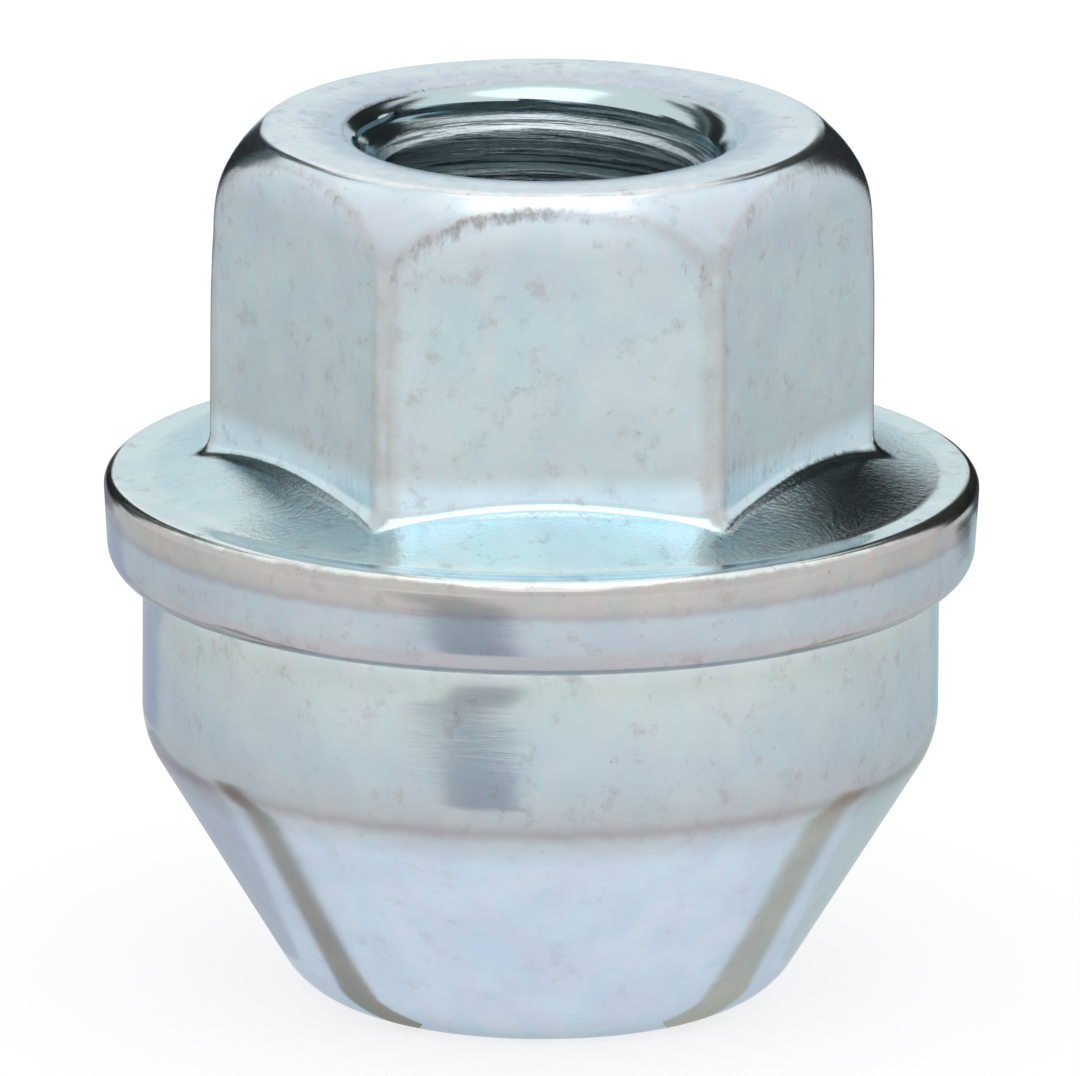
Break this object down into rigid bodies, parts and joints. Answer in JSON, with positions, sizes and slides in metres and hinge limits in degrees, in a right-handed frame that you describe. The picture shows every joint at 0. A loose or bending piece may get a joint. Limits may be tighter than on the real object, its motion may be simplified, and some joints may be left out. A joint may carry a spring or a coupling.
{
  "type": "wheel nut",
  "caption": "Open-ended wheel nut with a spanner hex, a rounded crown, a flanged rim, a plain collar and a tapered seat that centres the wheel.",
  "frame": {"origin": "on the nut's axis, at the flat foot that it stands on", "axes": "+Z along the thread from the foot to the hex's crown; two flats of the hex face +Y and -Y, and two corners point along +X and -X"},
  "size_m": [0.0284, 0.0284, 0.0288],
  "materials": {
    "zinc_plated_steel": "bright zinc plating with a clear blue passivate, satin on the flats and finely turned on the taper"
  },
  "bodies": {
    "root": {"wheel_nut": "zinc_plated_steel"}
  },
  "joints": []
}
